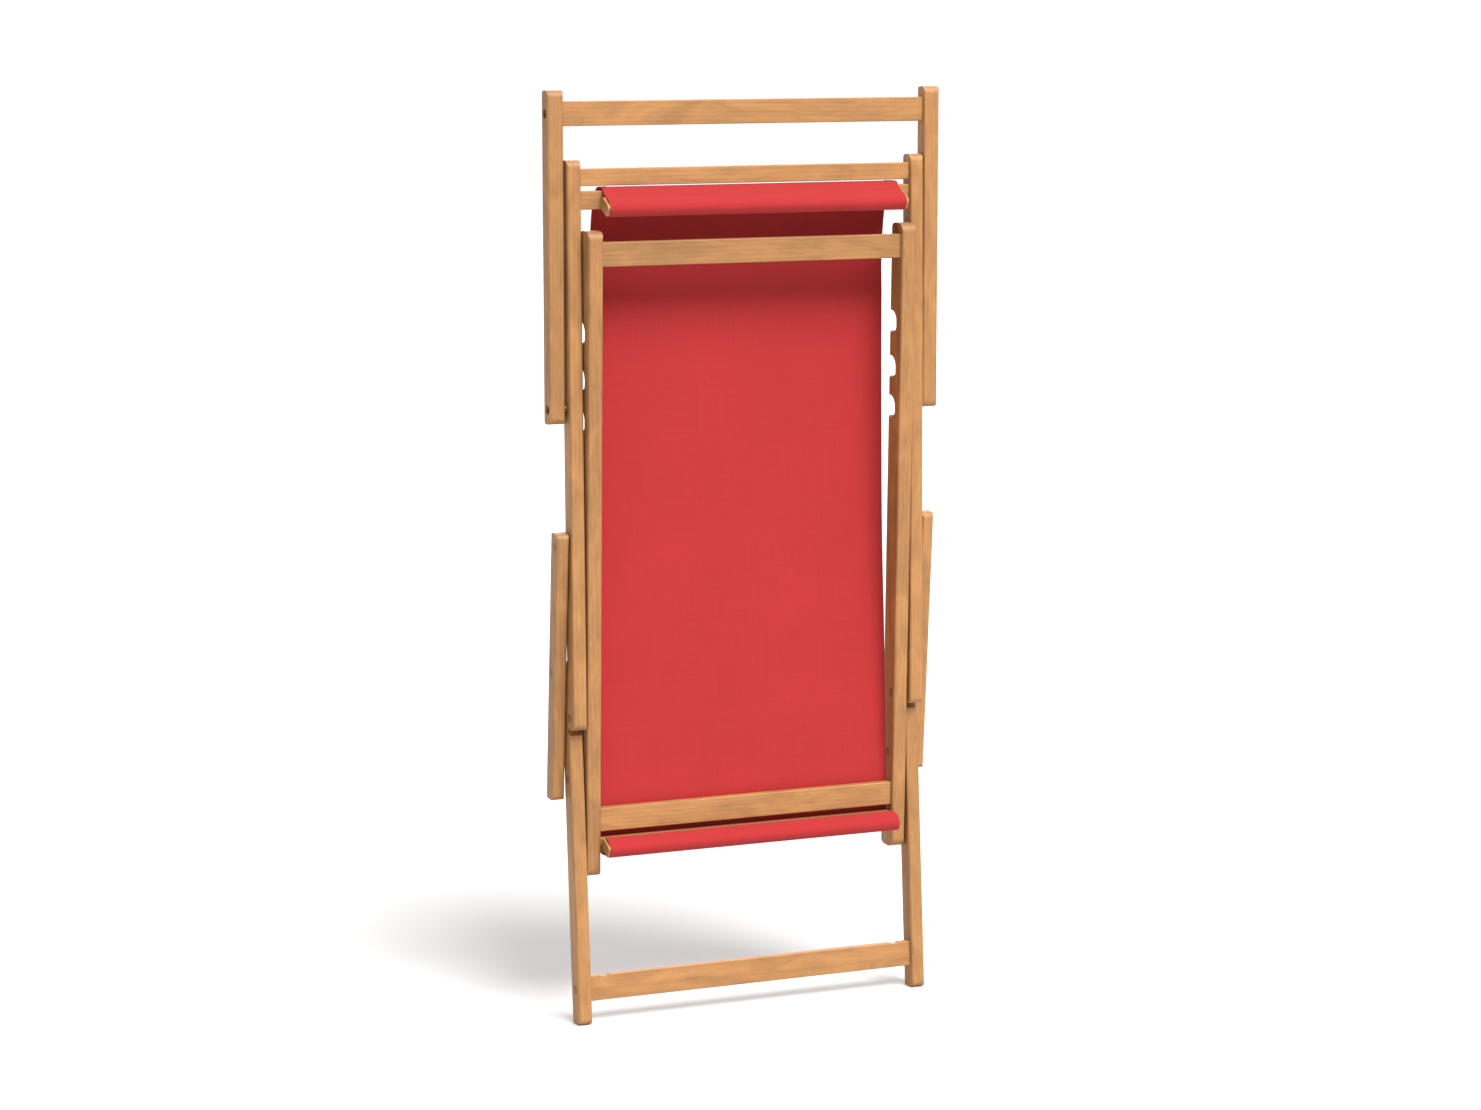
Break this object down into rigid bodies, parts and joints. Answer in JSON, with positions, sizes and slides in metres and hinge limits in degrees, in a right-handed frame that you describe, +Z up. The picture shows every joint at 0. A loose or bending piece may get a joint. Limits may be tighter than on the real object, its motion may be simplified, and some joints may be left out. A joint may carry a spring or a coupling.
{
  "type": "folding deck chair",
  "caption": "Folding garden deck chair: wooden back, seat, leg and prop frames, pivoting armrests, and a cloth sling held by rods in its end sleeves, with notches for the recline.",
  "frame": {"origin": "under the middle of the folded chair at floor level, midway between its front and back limits", "axes": "+X across the chair, +Y from the underside of the folded chair towards the sitting side, +Z up along the folded frames"},
  "size_m": [0.56, 0.0898, 1.2374],
  "materials": {
    "teak": "sanded and oiled hardwood, straight grain along each board",
    "rod_wood": "sanded hardwood rod",
    "plug_wood": "end grain, sanded flush",
    "red_cloth": "plain woven outdoor canvas, matt",
    "dark_steel": "dark bronze-tone passivated steel"
  },
  "bodies": {
    "seat_frame": {"seat_upright_left": "teak", "seat_upright_right": "teak", "rear_foot_rail": "teak", "seat_front_rail": "teak", "seat_sling_rail": "teak", "sling_seat": "red_cloth", "bottom_sling_rod": "rod_wood", "seat_rail_dowels": "plug_wood", "seat_pivot_plugs": "plug_wood"},
    "back_frame": {"back_upright_left": "teak", "back_upright_right": "teak", "back_top_rail": "teak", "back_sling_rail": "teak", "sling_back": "red_cloth", "top_sling_rod": "rod_wood", "main_pivot_bolts": "dark_steel", "main_pivot_nuts": "dark_steel", "main_pivot_washers": "dark_steel", "main_pivot_plugs": "plug_wood", "arm_pivot_bolts": "dark_steel", "arm_pivot_nuts": "dark_steel", "arm_pivot_washers": "dark_steel", "back_rail_dowels": "plug_wood"},
    "leg_frame": {"leg_left": "teak", "leg_right": "teak", "leg_rail": "teak", "leg_pivot_bolts": "dark_steel", "leg_pivot_nuts": "dark_steel", "leg_pivot_washers": "dark_steel", "leg_plugs": "plug_wood", "leg_top_inserts": "dark_steel", "leg_top_washers": "dark_steel", "leg_rail_screws": "dark_steel"},
    "prop_frame": {"prop_upright_left": "teak", "prop_upright_right": "teak", "prop_rail": "teak", "prop_pivot_bolts": "dark_steel", "prop_pivot_nuts": "dark_steel", "prop_pivot_washers": "dark_steel", "prop_rail_screws": "dark_steel"},
    "armrest_left": {"armrest_left": "teak", "armrest_left_front_bolt": "dark_steel", "armrest_left_plugs": "plug_wood"},
    "armrest_right": {"armrest_right": "teak", "armrest_right_front_bolt": "dark_steel", "armrest_right_plugs": "plug_wood"}
  },
  "joints": [
    {"name": "back_fold", "type": "hinge", "parent": "seat_frame", "child": "back_frame", "pos_m": [0, 0.00034, 0.4134], "axis": [-1, 0, 0], "range_deg": [0, 57.6]},
    {"name": "leg_fold", "type": "hinge", "parent": "seat_frame", "child": "leg_frame", "pos_m": [0, 0.01089, 0.32877], "axis": [-1, 0, 0], "range_deg": [0, 69.47]},
    {"name": "arm_left_fold", "type": "hinge", "parent": "back_frame", "child": "armrest_left", "pos_m": [0, -0.00066, 0.6434], "axis": [1, 0, 0], "range_deg": [0, 35.68]},
    {"name": "arm_right_fold", "type": "hinge", "parent": "back_frame", "child": "armrest_right", "pos_m": [0, -0.00066, 0.6434], "axis": [1, 0, 0], "range_deg": [0, 35.68]},
    {"name": "prop_swing", "type": "hinge", "parent": "back_frame", "child": "prop_frame", "pos_m": [0, 0.00234, 0.8234], "axis": [1, 0, 0], "range_deg": [0, 120]}
  ],
  "couplings": [
    {"joint": "leg_fold", "follows": "back_fold", "ratio": 1.2052},
    {"joint": "arm_left_fold", "follows": "back_fold", "ratio": 0.6185},
    {"joint": "arm_right_fold", "follows": "back_fold", "ratio": 0.6185}
  ]
}
